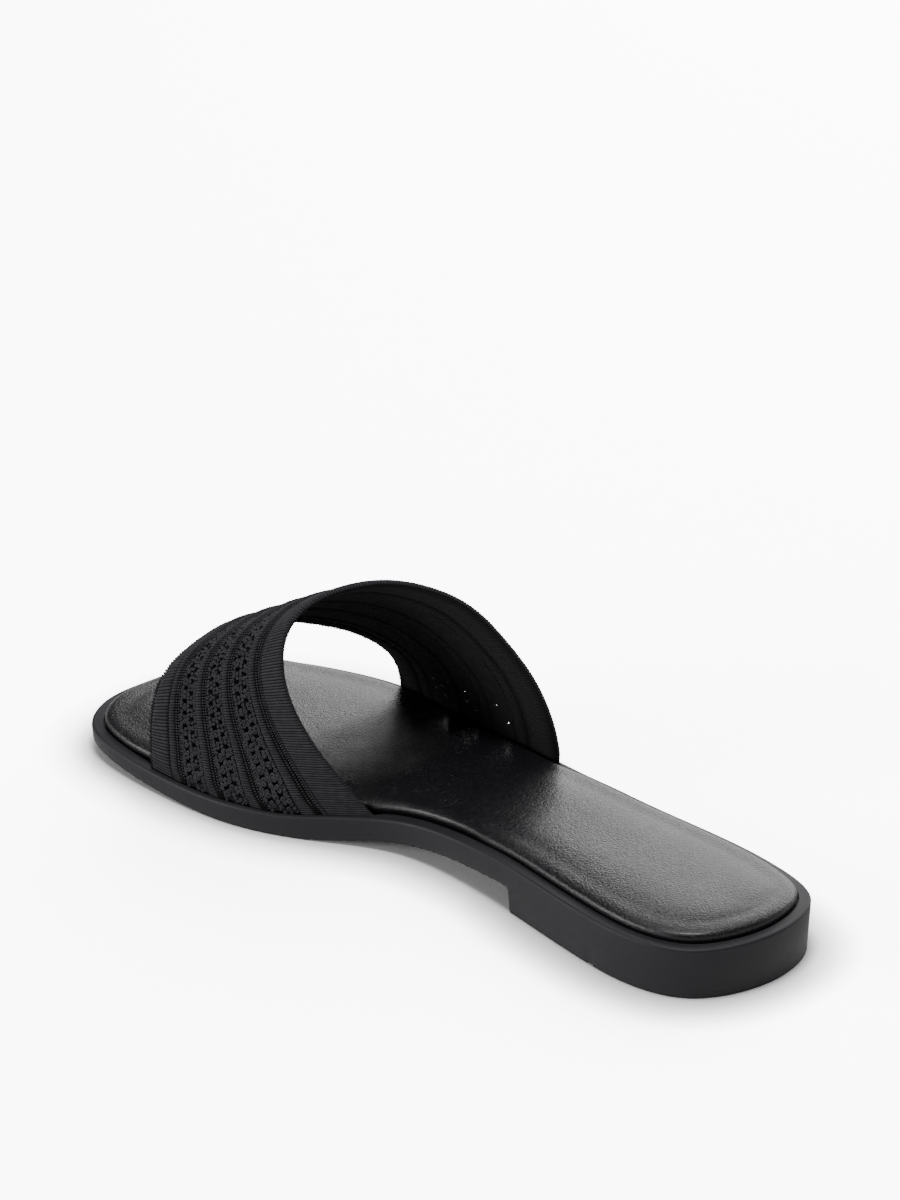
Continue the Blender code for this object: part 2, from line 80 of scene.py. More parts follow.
def naturalCurve(rows, x):
    # a natural cubic through rows at evenly spaced knots from 0 to 1
    rows = np.asarray(rows, float)
    count = len(rows)
    step = 1 / (count - 1)
    system, right = np.eye(count), np.zeros_like(rows)
    for i in range(1, count - 1):
        system[i, i - 1:i + 2] = (1, 4, 1)
        right[i] = 6 * (rows[i - 1] - 2 * rows[i] + rows[i + 1]) / step**2
    i = np.clip((x / step).astype(int), 0, count - 2)
    return cubicSpan(rows, np.linalg.solve(system, right), i, i + 1, (x / step - i)[:, None], step)


def closedCurve(points, samples):
    # a periodic cubic spline by chord length, with its outward normals
    points = np.asarray(points, float)
    count = len(points)
    after = np.roll(points, -1, axis=0)
    chord = np.linalg.norm(after - points, axis=1)
    system, right = np.zeros((count, count)), np.zeros_like(points)
    for i in range(count):
        h0, h1 = chord[i - 1], chord[i]
        system[i, i - 1] += h0
        system[i, i] += 2 * (h0 + h1)
        system[i, (i + 1) % count] += h1
        right[i] = 6 * ((after[i] - points[i]) / h1 - (points[i] - points[i - 1]) / h0)
    bend = np.linalg.solve(system, right)
    starts = np.concatenate([[0], np.cumsum(chord)])
    along = np.linspace(0, starts[-1], samples, endpoint=False)
    i = np.searchsorted(starts, along, side="right") - 1
    j = (i + 1) % count
    h = chord[i][:, None]
    b = (along - starts[i])[:, None] / h
    turning = (3 * b**2 - 1) * bend[j] - (3 * (1 - b) ** 2 - 1) * bend[i]
    slopes = (points[j] - points[i]) / h + turning * h / 6
    normals = unitRows(np.stack([slopes[:, 1], -slopes[:, 0]], axis=1))
    return cubicSpan(points, bend, i, j, b, h), normals


# The sole's plan and side view, as the solid has them
soleShape = {
    "length": 258.0 * mm,
    "ballWidth": 92.5 * mm,
    "heelRim": 17.8 * mm,
    "breastRim": 17.3 * mm,
    "foreThickness": 7.5 * mm,
    "toeThickness": 4.6 * mm,
    "waistThickness": 8.4 * mm,
    "toeSpring": 5.0 * mm,
    "springStart": 0.72,
    "springPower": 1.8,
    "heelBlock": 87.4 * mm,
    "outline": (  # share of the length, share of the ball width, from the back of the heel anticlockwise
        (0.000, 0.030), (0.020, 0.200), (0.072, 0.268), (0.158, 0.304), (0.275, 0.318),
        (0.390, 0.348), (0.505, 0.415), (0.620, 0.491), (0.735, 0.537), (0.837, 0.479),
        (0.919, 0.357), (0.970, 0.181), (0.993, -0.031), (1.000, -0.238), (0.977, -0.369),
        (0.920, -0.434), (0.826, -0.461), (0.732, -0.452), (0.633, -0.366), (0.530, -0.244),
        (0.423, -0.243), (0.313, -0.298), (0.214, -0.354), (0.136, -0.376), (0.059, -0.318),
        (0.015, -0.160),
    ),
    "outlineSamples": 2400,
    # share of the length, share of the way up from the forepart to the heel
    "climb": ((0.333, 1.00), (0.410, 0.86), (0.504, 0.59), (0.600, 0.21), (0.680, 0.00)),
}


def makeOutline():
    width, length = soleShape["ballWidth"], soleShape["length"]
    rows = [(across * width, along * length) for along, across in soleShape["outline"]]
    places, normals = closedCurve(rows, soleShape["outlineSamples"])
    back = int(places[:, 1].argmin())
    places, normals = np.roll(places, -back, axis=0), np.roll(normals, -back, axis=0)
    toe = int(places[:, 1].argmax())
    middle = (places[:, 0].min() + places[:, 0].max()) / 2
    start, length = places[0, 1], places[toe, 1] - places[0, 1]
    places = places - np.array([middle, start])
    around = np.append(np.arange(toe, len(places)), 0)[::-1]
    sides = {"lateral": (places[:toe + 1], normals[:toe + 1]), "medial": (places[around], normals[around])}
    return {"length": length, "sides": sides}


outline = makeOutline()


def outlineAt(side, fromHeel, inset):
    places, normals = outline["sides"][side]
    x, nx, ny = (np.interp(fromHeel, places[:, 1], row) for row in (places[:, 0], *normals.T))
    size = np.hypot(nx, ny)
    return x - nx / size * inset, fromHeel - ny / size * inset - outline["length"] / 2


def toeShare(fromHeel):
    # 0 up to where the toe begins to rise, 1 at its tip
    start = soleShape["springStart"]
    return np.clip((fromHeel / soleShape["length"] - start) / (1 - start), 0, None)


def toeSpring(fromHeel):
    return soleShape["toeSpring"] * toeShare(fromHeel) ** soleShape["springPower"]


def rimHeight(fromHeel):
    block, atHeel, atBreast = (soleShape[k] for k in ("heelBlock", "heelRim", "breastRim"))
    thick, thin = soleShape["foreThickness"], soleShape["toeThickness"]
    heel = atHeel + (atBreast - atHeel) * (fromHeel / block) ** 2
    climb = monotoneCurve(*zip(*soleShape["climb"]), fromHeel / soleShape["length"])
    fore = thick + (thin - thick) * toeShare(fromHeel) + toeSpring(fromHeel) + climb * (atBreast - thick)
    return np.where(fromHeel <= block, heel, fore)


def underHeight(fromHeel):
    spring = toeSpring(fromHeel)
    return np.clip(rimHeight(fromHeel) - soleShape["waistThickness"] - spring, 0, None) + spring


def spread(count, length):
    # places from 0 to the length, closer together at its ends
    return length * (1 - np.cos(np.pi * np.arange(count) / (count - 1))) / 2


def ring(stations, inset, heights):
    # round the sole once: up the outer side to the toe and back down the inner side
    rows = []
    for side in ("lateral", "medial"):
        x, y = outlineAt(side, stations, np.broadcast_to(inset(side), stations.shape))
        rows.append(np.stack([x, y, heights(side) if callable(heights) else heights], axis=1))
    return np.concatenate([rows[0], rows[1][-2:0:-1]])


def newMesh(name, points, faces=()):
    mesh = bpy.data.meshes.new(name)
    mesh.from_pydata(np.asarray(points).tolist(), [], faces)
    return mesh


def addObject(name, data):
    added = bpy.data.objects.new(name, data)
    bpy.context.scene.collection.objects.link(added)
    return added


def skin(grid):
    # the faces between neighbouring rows of points, closed round each row
    after = np.roll(grid, -1, axis=1)
    return np.stack([grid[:-1], after[:-1], after[1:], grid[1:]], axis=-1).reshape(-1, 4).tolist()


def meshFromRings(name, rings, columns=1, capHeight=None):
    # skins the rings and closes both ends; the last one with a grid whose height can be shaped
    size, count = len(rings[0]), len(rings)
    grid = np.arange(size * count).reshape(count, size)
    faces = skin(grid)
    half = size // 2
    verts = [np.concatenate(rings)]
    for loop, steps in ((grid[0], 1), (grid[-1], columns)):
        one, other = loop[:half + 1], loop[(size - np.arange(half + 1)) % size]
        rows = [one]
        for k in range(1, steps):
            share = k / steps
            places = verts[0][one] * (1 - share) + verts[0][other] * share
            width = np.linalg.norm(verts[0][one] - verts[0][other], axis=1)
            places[:, 2] += capHeight(places, share, width)
            first = sum(len(v) for v in verts)
            line = np.arange(half + 1) + first
            line[0], line[-1] = one[0], one[-1]
            verts.append(places)
            rows.append(line)
        rows.append(other)
        for near, far in zip(rows[:-1], rows[1:]):
            for i in range(half):
                corners = [near[i], near[i + 1], far[i + 1], far[i]]
                faces.append([int(c) for c in dict.fromkeys(corners)])
    return newMesh(name, np.concatenate(verts), [f for f in faces if len(f) > 2])


def tidyMesh(mesh, smoothAngle):
    body = bmesh.new()
    body.from_mesh(mesh)
    bmesh.ops.remove_doubles(body, verts=body.verts, dist=samePlace)
    bmesh.ops.delete(body, geom=[v for v in body.verts if not v.link_faces], context="VERTS")
    bmesh.ops.recalc_face_normals(body, faces=body.faces)
    body.to_mesh(mesh)
    body.free()
    mesh.shade_smooth()
    mesh.set_sharp_from_angle(angle=math.radians(smoothAngle))
    return mesh


def addPiece(name, mesh, material):
    piece = addObject(name, mesh)
    mesh.materials.clear()
    mesh.materials.append(material)
    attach(piece, "root")
    return piece


def setInputs(node, values):
    for key, value in values.items():
        node.inputs[key].default_value = value


def addNode(tree, kind, values=None, **settings):
    node = tree.nodes.new(kind)
    for key, value in settings.items():
        setattr(node, key, value)
    setInputs(node, values or {})
    return node


def joinNodes(tree, *links):
    for source, output, target, entry in links:
        tree.links.new(source.outputs[output], target.inputs[entry])


def newMaterial(name):
    material = bpy.data.materials.new(name)
    material.use_nodes = True
    tree = material.node_tree
    return material, tree, tree.nodes["Principled BSDF"]


mottleLook = {"patchDetail": 5.0, "grainDetail": 3.0, "roughFrom": 0.3, "roughTo": 0.7}


def makeMottleGroup():
    # soft unevenness of colour and roughness, and a fine bump, at a size the material gives
    group = bpy.data.node_groups.new("surfaceMottle", "ShaderNodeTree")
    for name, kind in (
        ("Vector", "Vector"), ("Patch Scale", "Float"), ("Grain Scale", "Float"), ("Dark", "Color"),
        ("Light", "Color"), ("Rough Low", "Float"), ("Rough High", "Float"),
    ):
        group.interface.new_socket(name, in_out="INPUT", socket_type="NodeSocket" + kind)
    for name, kind in (("Color", "Color"), ("Roughness", "Float"), ("Height", "Float")):
        group.interface.new_socket(name, in_out="OUTPUT", socket_type="NodeSocket" + kind)
    source, target = addNode(group, "NodeGroupInput"), addNode(group, "NodeGroupOutput")
    patch = addNode(group, "ShaderNodeTexNoise", {"Detail": mottleLook["patchDetail"]})
    grain = addNode(group, "ShaderNodeTexNoise", {"Detail": mottleLook["grainDetail"]})
    mix = addNode(group, "ShaderNodeMix", data_type="RGBA")
    ends = {"From Min": mottleLook["roughFrom"], "From Max": mottleLook["roughTo"]}
    rough = addNode(group, "ShaderNodeMapRange", ends)
    joinNodes(
        group,
        (source, "Vector", patch, "Vector"), (source, "Patch Scale", patch, "Scale"),
        (source, "Vector", grain, "Vector"), (source, "Grain Scale", grain, "Scale"),
        (patch, "Fac", mix, "Factor"), (source, "Dark", mix, 6), (source, "Light", mix, 7),
        (patch, "Fac", rough, "Value"), (source, "Rough Low", rough, "To Min"),
        (source, "Rough High", rough, "To Max"), (mix, 2, target, "Color"),
        (rough, "Result", target, "Roughness"), (grain, "Fac", target, "Height"),
    )
    return group


mottleGroup = makeMottleGroup()


def addMottle(tree, shader, finish):
    # the group with a finish's values, on the piece's own coordinates, and the bump its grain feeds
    place = addNode(tree, "ShaderNodeTexCoord")
    mottle = addNode(tree, "ShaderNodeGroup", node_tree=mottleGroup)
    setInputs(mottle, {
        "Patch Scale": finish["patchScale"], "Grain Scale": finish["grainScale"], "Dark": finish["dark"],
        "Light": finish["light"], "Rough Low": finish["roughLow"], "Rough High": finish["roughHigh"],
    })
    bump = addNode(tree, "ShaderNodeBump", {"Strength": finish["bump"], "Distance": finish["bumpHeight"]})
    joinNodes(
        tree,
        (place, "Object", mottle, "Vector"), (mottle, "Color", shader, "Base Color"),
        (mottle, "Roughness", shader, "Roughness"), (mottle, "Height", bump, "Height"),
        (bump, "Normal", shader, "Normal"),
    )
    return place, mottle, bump


rubberFinish = {
    "dark": (0.0150, 0.0147, 0.0175, 1), "light": (0.0215, 0.0211, 0.0250, 1), "patchScale": 45.0,
    "roughLow": 0.46, "roughHigh": 0.60, "specular": 0.34,
    "grainScale": 1800.0, "bump": 0.12, "bumpHeight": 0.2 * mm,
}


def makeRubber():
    material, tree, shader = newMaterial("outsoleRubber")
    addMottle(tree, shader, rubberFinish)
    shader.inputs["Specular IOR Level"].default_value = rubberFinish["specular"]
    return material


leatherFinish = {
    "dark": (0.006, 0.0059, 0.0072, 1), "light": (0.010, 0.0098, 0.0118, 1), "patchScale": 30.0,
    "roughLow": 0.23, "roughHigh": 0.32, "coat": 0.2, "coatRoughness": 0.24,
    "grainScale": 1750.0, "bump": 1.0, "bumpHeight": 0.26 * mm,
    "wrinkleScale": 370.0, "wrinkleHeight": 0.22 * mm, "wrinkleTurn": 28, "wrinkleStretch": (1.0, 2.6, 1.0),
    "hollowScale": 85.0, "hollowHeight": 0.20 * mm,
    # where the waist bends, along the shoe; the wrinkles fade to their least share on both sides of it
    "bendFrom": -0.048, "bendTo": 0.006, "bendFade": 0.02, "bendLeast": 0.25,
}


def makeLeather():
    look = leatherFinish
    material, tree, shader = newMaterial("insoleLeather")
    place, _, fine = addMottle(tree, shader, look)
    turn = {"Rotation": (0, 0, math.radians(look["wrinkleTurn"])), "Scale": look["wrinkleStretch"]}
    stretch = addNode(tree, "ShaderNodeMapping", turn)
    wrinkle = addNode(
        tree, "ShaderNodeTexNoise", {"Scale": look["wrinkleScale"], "Detail": 4.0, "Distortion": 0.6}
    )
    hollow = addNode(tree, "ShaderNodeTexNoise", {"Scale": look["hollowScale"], "Detail": 2.0})
    split = addNode(tree, "ShaderNodeSeparateXYZ")
    rise, fall = (
        addNode(
            tree, "ShaderNodeMapRange", {"From Min": start, "From Max": stop, "To Min": look["bendLeast"]},
            interpolation_type="SMOOTHSTEP",
        )
        for start, stop in (
            (look["bendFrom"] - look["bendFade"], look["bendFrom"]),
            (look["bendTo"] + look["bendFade"], look["bendTo"]),
        )
    )
    bend, tall = (addNode(tree, "ShaderNodeMath", operation="MULTIPLY") for _ in range(2))
    low = addNode(tree, "ShaderNodeBump", {"Strength": 1.0, "Distance": look["hollowHeight"]})
    middle = addNode(tree, "ShaderNodeBump", {"Strength": 1.0, "Distance": look["wrinkleHeight"]})
    joinNodes(
        tree,
        (place, "Object", stretch, "Vector"), (stretch, "Vector", wrinkle, "Vector"),
        (place, "Object", hollow, "Vector"), (place, "Object", split, "Vector"),
        (split, "Y", rise, "Value"), (split, "Y", fall, "Value"),
        (rise, "Result", bend, 0), (fall, "Result", bend, 1),
        (wrinkle, "Fac", tall, 0), (bend, 0, tall, 1),
        (hollow, "Fac", low, "Height"), (tall, 0, middle, "Height"),
        (low, "Normal", middle, "Normal"), (middle, "Normal", fine, "Normal"),
    )
    setInputs(shader, {"Coat Weight": look["coat"], "Coat Roughness": look["coatRoughness"]})
    return material


yarnFinish = {
    "dark": (0.021, 0.0208, 0.0232, 1), "light": (0.062, 0.0612, 0.068, 1), "patchScale": 420.0,
    "roughLow": 0.75, "roughHigh": 0.92, "specular": 0.15,
    "grainScale": 5200.0, "bump": 0.5, "bumpHeight": 0.12 * mm,
    "sheen": 0.06, "sheenRoughness": 0.5, "sheenTint": (0.6, 0.6, 0.63, 1),
    # how dark the painted shade makes the yarn, and the least stored value that darkens it
    "paintedShadeAmount": 0.95, "paintedShadeFrom": 0.06,
}


def makeYarn():
    look = yarnFinish
    material, tree, shader = newMaterial("strapYarn")
    _, mottle, _ = addMottle(tree, shader, look)
    # painted shade: the stored values darken the yarn's colour in place of the shade that falls between yarns
    # and on inner faces
    paintedShadeAmount = addNode(tree, "ShaderNodeAttribute", attribute_name="paintedShade")
    ends = {"From Min": look["paintedShadeFrom"], "To Min": 1.0, "To Max": 1.0 - look["paintedShadeAmount"]}
    depth = addNode(tree, "ShaderNodeMapRange", ends)
    shade = addNode(tree, "ShaderNodeMix", data_type="RGBA", blend_type="MULTIPLY")
    shade.inputs["Factor"].default_value = 1.0
    joinNodes(
        tree,
        (paintedShadeAmount, "Fac", depth, "Value"), (mottle, "Color", shade, 6), (depth, "Result", shade, 7),
        (shade, 2, shader, "Base Color"),
    )
    setInputs(shader, {
        "Specular IOR Level": look["specular"], "Sheen Weight": look["sheen"],
        "Sheen Roughness": look["sheenRoughness"], "Sheen Tint": look["sheenTint"],
    })
    return material


rubber, leather, yarn = makeRubber(), makeLeather(), makeYarn()
print("materials made")


strapShape = {
    "medialFront": 221.5 * mm,
    "medialLength": 78.2 * mm,
    "lateralFront": 190.3 * mm,
    "lateralLength": 77.6 * mm,
    "frontRise": 34.3 * mm,
    "rearRise": 60.1 * mm,
    "frontSweep": 14.7 * mm,
    "rearSweep": 43.6 * mm,
    "wallInset": 2.9 * mm,
    "footAboveRecess": 0.8 * mm,
    "footHold": 8,  # higher lets go of the sole's edge sooner above the feet
    "inner": 0.7 * mm,
    "pinch": 0.5 * mm,
    "swellStart": 0.8 * mm,
    "swellHeight": 4.5 * mm,
    # each edge's arch from the inner foot to the outer one: shares across, up and ahead
    "front": (
        (-1, 0, 0), (-0.93, 0.42, 0.22), (-0.74, 0.74, 0.6), (-0.43, 0.93, 0.86),
        (-0.03, 1, 1), (0.37, 0.9, 0.75), (0.71, 0.71, 0.34), (0.93, 0.41, 0), (1, 0, 0),
    ),
    "rear": (
        (-1, 0, 0), (-1.12, 0.39, 0.53), (-0.95, 0.71, 0.88), (-0.58, 0.905, 1),
        (-0.03, 1, 0.93), (0.49, 0.95, 0.7), (0.79, 0.745, 0.41), (0.92, 0.385, 0.07), (1, 0, 0),
    ),
    "lineSamples": 400,
}


def strapSide(side):
    return strapShape[side + "Front"], strapShape[side + "Length"]


def nearStrap(side, fromHeel, reach):
    # 1 where the strap's foot stands on this side, falling to 0 over the reach at its ends
    front, length = strapSide(side)
    ahead = np.clip((front + reach - fromHeel) / reach, 0, 1)
    behind = np.clip((fromHeel - front + length + reach) / reach, 0, 1)
    return smooth(ahead * behind)


outsoleLook = {
    "draft": 0.05,
    "treadEdge": 0.5 * mm,
    "rimRound": 0.9 * mm,
    "shelfWidth": 3.9 * mm,
    "shelfAtStrap": 1.9 * mm,
    "shelfEase": 1.5 * mm,
    "innerLip": 0.25 * mm,
    # shares of the lip's size in from its edge and up from the rim
    "lipSection": ((-3, 0), (-1.6, 0.25), (-0.8, 0.25), (-0.2, -0.3), (0, -1)),
    "recess": 1.2 * mm,
    "breastLean": 0.2 * mm,
    "breastFillet": 1.6 * mm,
    "grooveFromBack": 50.0 * mm,
    "grooveWidth": 3.0 * mm,
    "grooveDepth": 0.6 * mm,
    "stations": 230,
    "stationMargin": 0.8 * mm,
    "smoothAngle": 50,
}


def soleStations(count):
    # distances from the heel, and the underside's height there, with the breast and the tread's groove
    look = outsoleLook
    breast, edge, fillet = soleShape["heelBlock"], look["treadEdge"], look["breastFillet"]
    ceiling = float(underHeight(breast + look["breastLean"] + fillet))
    rows = [(breast - edge, 0.0), (breast - roundMiddle * edge, roundMiddle * edge), (breast, edge)]
    for angle in range(0, 91, 15):
        a = math.radians(angle)
        ahead, down = fillet * (1 - math.cos(a)), fillet * (1 - math.sin(a))
        rows.append((breast + look["breastLean"] + ahead, ceiling - down))
    half, flank = look["grooveWidth"] / 2, look["grooveDepth"] / 2
    back, deep = look["grooveFromBack"], look["grooveDepth"]
    inside = half - flank
    groove = [(back - half, 0.0), (back - inside, deep), (back + inside, deep), (back + half, 0.0)]
    margin = look["stationMargin"]
    kept = [(r[0][0] - margin, r[-1][0] + margin) for r in (rows, groove)]
    for y in spread(count, outline["length"]):
        if not any(start < y < stop for start, stop in kept):
            rows.append((float(y), 0.0 if y < breast else float(underHeight(y))))
    return np.array(sorted(rows + groove)).T


def makeOutsole():
    look = outsoleLook
    stations, under = soleStations(look["stations"])
    rim = rimHeight(stations)
    draft, edge, turn = look["draft"] * (rim - under), look["treadEdge"], look["rimRound"]

    def shelf(extra):
        def inset(side):
            near = nearStrap(side, stations, look["shelfEase"])
            return look["shelfWidth"] + (look["shelfAtStrap"] - look["shelfWidth"]) * near + extra
        return inset

    def wall(inset):
        return lambda side: inset

    layers = [(wall(draft + edge), under)]
    for a in np.radians((30, 60, 90)):
        layers.append((wall(draft + edge * (1 - math.sin(a))), under + edge * (1 - math.cos(a))))
    layers.append((wall(0.5 * draft), (under + edge + rim - turn) / 2))
    for a in np.radians((0, 22, 45, 67, 90)):
        layers.append((wall(turn * (1 - math.cos(a))), rim - turn * (1 - math.sin(a))))
    lip = look["innerLip"]
    layers += [(shelf(inward * lip), rim + up * lip) for inward, up in look["lipSection"]]
    layers.append((shelf(0), rim - look["recess"]))
    mesh = meshFromRings("outsoleRubber", [ring(stations, inset, heights) for inset, heights in layers])
    piece = addPiece("outsole_moulded", tidyMesh(mesh, look["smoothAngle"]), rubber)
    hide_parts("outsole")


insoleLook = {
    "inset": 4.4 * mm,
    "relief": 0.9 * mm,
    "reliefFade": 14 * mm,
    "rise": 3.9 * mm,
    "aboveFloor": 0.3 * mm,
    "underRound": 0.8 * mm,
    "stations": 230,
    # how far in from the side in mm, and how far below the top as a share of the rise: inner and outer side
    "profile": (
        (-0.15, 0.90, 0.90), (-0.20, 0.76, 0.75), (-0.12, 0.63, 0.60), (0.06, 0.51, 0.46),
        (0.35, 0.41, 0.30), (0.80, 0.33, 0.175), (1.50, 0.255, 0.095), (2.60, 0.180, 0.045),
        (4.20, 0.115, 0.020), (6.20, 0.070, 0.008),
    ),
    "sidesAlike": 25 * mm,  # the two sides' profiles become one over this length at the toe and the heel
    "crown": 1.8 * mm,
    "crownPower": 3,  # higher is flatter in the middle and rounder at the sides
    "fullWidth": 44 * mm,
    "columns": 30,
    "heelDish": 0.4 * mm,
    "dishCentre": 0.17,
    "dishSpread": 0.13,
    "softWaves": (  # depth in mm, wavelength in mm, heading in degrees, phase
        (0.030, 31, 20, 0.4), (0.022, 23, 75, 2.1), (0.016, 17, 130, 4.0), (0.010, 11, 40, 1.2),
        (0.008, 8, 100, 5.1),
    ),
    "smoothAngle": 60,
}


def insoleInset(fromHeel):
    fade = insoleLook["reliefFade"]
    first, last = strapShape["lateralFront"] - strapShape["lateralLength"], strapShape["medialFront"]
    under = monotoneCurve([first - fade, first, last, last + fade], [0, 1, 1, 0], fromHeel)
    return insoleLook["inset"] + insoleLook["relief"] * under


def insoleTop(places, share, width):
    # crown, heel dish and soft waves, fading out at the rolled edge
    look = insoleLook
    x, y = places[:, 0] / mm, (places[:, 1] + outline["length"] / 2) / mm
    broad = np.clip(width / look["fullWidth"], 0, 1) ** 2
    fade = (1 - abs(2 * share - 1) ** look["crownPower"]) * broad
    fromDish = (y * mm / soleShape["length"] - look["dishCentre"]) / look["dishSpread"]
    rise = fade * (look["crown"] - look["heelDish"] * np.exp(-(fromDish**2)))
    for depth, length, heading, phase in look["softWaves"]:
        a = math.radians(heading)
        along = x * math.cos(a) + y * math.sin(a)
        rise = rise + depth * mm * np.sin(2 * np.pi * along / length + phase) * fade
    return rise


def makeInsole():
    look = insoleLook
    stations = spread(look["stations"], outline["length"])
    top = rimHeight(stations) + look["rise"]
    floor = rimHeight(stations) - outsoleLook["recess"] + look["aboveFloor"]
    side, under = insoleInset(stations), look["underRound"]
    middle = roundMiddle * under
    layers = [(side + under, floor), (side + middle, floor + middle), (side, floor + under)]
    fromEnds = np.minimum(stations, outline["length"] - stations)
    apart = smooth(np.clip(fromEnds / look["sidesAlike"], 0, 1))
    for inward, down, outerDown in look["profile"]:
        both = (down + outerDown) / 2

        def heights(edge, both=both, own={"medial": down, "lateral": outerDown}):
            return top - (both + (own[edge] - both) * apart) * look["rise"]
        layers.append((side + inward * mm, heights))
    rings = [ring(stations, lambda s, inset=inset: inset, heights) for inset, heights in layers]
    mesh = meshFromRings("insoleLeather", rings, look["columns"], insoleTop)
    piece = addPiece("insole_padded", tidyMesh(mesh, look["smoothAngle"]), leather)
    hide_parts("insole")


def footBase(side, share):
    front, length = strapSide(side)
    x, y = outlineAt(side, front - share * length, strapShape["wallInset"])
    z = rimHeight(y + outline["length"] / 2) - outsoleLook["recess"] + strapShape["footAboveRecess"]
    return np.stack([x, y, z], axis=1)


def edgeArch(which, turn):
    share = np.full(1, 0.0 if which == "front" else 1.0)
    inner, outer = footBase("medial", share)[0], footBase("lateral", share)[0]
    across, up, ahead = naturalCurve(strapShape[which], turn).T[:, :, None]
    sweep, rise = strapShape[which + "Sweep"], strapShape[which + "Rise"]
    place = (inner + outer) / 2 + across * (outer - inner) / 2
    return place + ahead * np.array([0, sweep, 0]) + up * np.array([0, 0, rise])


def strapMiddle(share, turn):
    # the middle of the strap's wall
    front, rear = edgeArch("front", turn), edgeArch("rear", turn)
    place = front + (rear - front) * share[:, None]
    level = np.abs(2 * turn - 1)[:, None]
    hold = 1 - (1 - level ** strapShape["footHold"]) ** 2
    ends = np.array([0.0, 1.0])
    for side, here in (("medial", turn < 0.5), ("lateral", turn >= 0.5)):
        base = footBase(side, ends)
        straight = base[0] * (1 - share[:, None]) + base[1] * share[:, None]
        onSole = footBase(side, np.clip(share, 0, 1))
        place = place + (onSole - straight) * hold * here[:, None]
    return place


def strapFrame(share, turn):
    # place, the ways along the shoe, round the foot and out of the wall, and how full the wall is there
    step = 1e-3
    place = strapMiddle(share, turn)
    rearward = unitRows(strapMiddle(share + step, turn) - strapMiddle(share - step, turn))
    ahead, behind = np.clip(turn + step, 0, 1), np.clip(turn - step, 0, 1)
    around = unitRows(strapMiddle(share, ahead) - strapMiddle(share, behind))
    outward = unitRows(np.cross(rearward, around))
    medial, lateral = (footBase(side, np.clip(share, 0, 1))[:, 2] for side in ("medial", "lateral"))
    above = place[:, 2] - np.where(turn < 0.5, medial, lateral)
    full = np.clip((above - strapShape["swellStart"]) / strapShape["swellHeight"], 0, 1)
    return place, rearward, around, outward, smooth(full)


def strapLine(share):
    # turn values along one line round the foot, and the length of the line up to each
    turns = np.linspace(0, 1, strapShape["lineSamples"])
    line = strapMiddle(np.full(len(turns), share), turns)
    return turns, np.concatenate([[0], np.cumsum(np.linalg.norm(np.diff(line, axis=0), axis=1))])


def countAlong(share, pitch):
    return int(round(strapLine(share)[1][-1] / pitch))


def turnsAt(share, distances):
    # turn values that stand at these shares of the line's length
    turns, run = strapLine(share)
    return np.interp(np.asarray(distances) * run[-1], run, turns)


def storeValues(mesh, label, values):
    # a number or a direction for each point; the painted shade values darken the yarn's colour where shade
    # would fall: between the yarns, behind the loops and on the inner side
    values = np.asarray(values, np.float32)
    kind, field = ("FLOAT", "value") if values.ndim == 1 else ("FLOAT_VECTOR", "vector")
    mesh.attributes.new(label, kind, "POINT").data.foreach_set(field, values.ravel())


knitLook = {
    "samplesPerCourse": 4,
    "courseWander": 0.16,
    "wave": 0.10 * mm,
    "waveCount": 7,
    "courseSwell": 0.25,
    "swellShare": 0.2,
    "edgeWander": 0.004,
    "innerRelief": 0.30 * mm,
    "innerSide": -0.8,  # share of a course's depth on the inside, the other way out
    "footDrop": 0.5,
    # place across, which way the inner relief goes, painted shade
    "innerSection": ((0.99, 1, 0.9), (0.72, -1, 0.6), (0.28, -1, 0.6), (0.01, 1, 0.9)),
    "seed": 11,
    "smoothAngle": 75,
    # pitch and depth of the courses, height of the band; then place across, share of the height, painted
    # shade
    "frontBand": {
        "pitch": 1.02 * mm, "depth": 0.50 * mm, "height": 1.50 * mm,
        "section": ((0, 0.18, 0.8), (0.05, 0.62, 0.1), (0.16, 0.86, 0), (0.34, 0.97, 0), (0.56, 1, 0),
                    (0.76, 0.97, 0), (0.88, 0.86, 0.2), (0.95, 0.55, 0.8), (1, 0.15, 1)),
    },
    "rib": {
        "pitch": 0.84 * mm, "depth": 0.42 * mm, "height": 1.90 * mm,
        "section": ((0, 0.06, 1), (0.05, 0.4, 0.8), (0.12, 0.7, 0.2), (0.21, 0.91, 0), (0.32, 1, 0),
                    (0.43, 0.95, 0), (0.53, 0.8, 0.1), (0.6, 0.58, 0.7), (0.635, 0.36, 1), (0.72, 0.4, 1),
                    (0.8, 0.35, 1), (0.9, 0.33, 1), (1, 0.06, 1)),
    },
    "rearBand": {
        "pitch": 0.92 * mm, "depth": 0.48 * mm, "height": 1.45 * mm,
        "section": ((0, 0.12, 1), (0.025, 0.44, 0.4), (0.07, 0.62, 0), (0.105, 0.5, 0.9),
                    (0.14, 0.66, 0.1), (0.24, 0.86, 0), (0.42, 0.96, 0), (0.64, 1, 0), (0.84, 1.06, 0),
                    (0.94, 1, 0), (0.982, 0.72, 0), (1, 0.2, 0.2)),
    },
    "bands": (  # share of the strap's length where each starts and ends
        ("frontBand", 0.000, 0.126), ("rib", 0.118, 0.202), ("rib", 0.314, 0.402),
        ("rib", 0.514, 0.602), ("rib", 0.728, 0.822), ("rearBand", 0.810, 1.000),
    ),
    "openings": ((0.198, 0.318), (0.398, 0.518), (0.598, 0.732)),
}


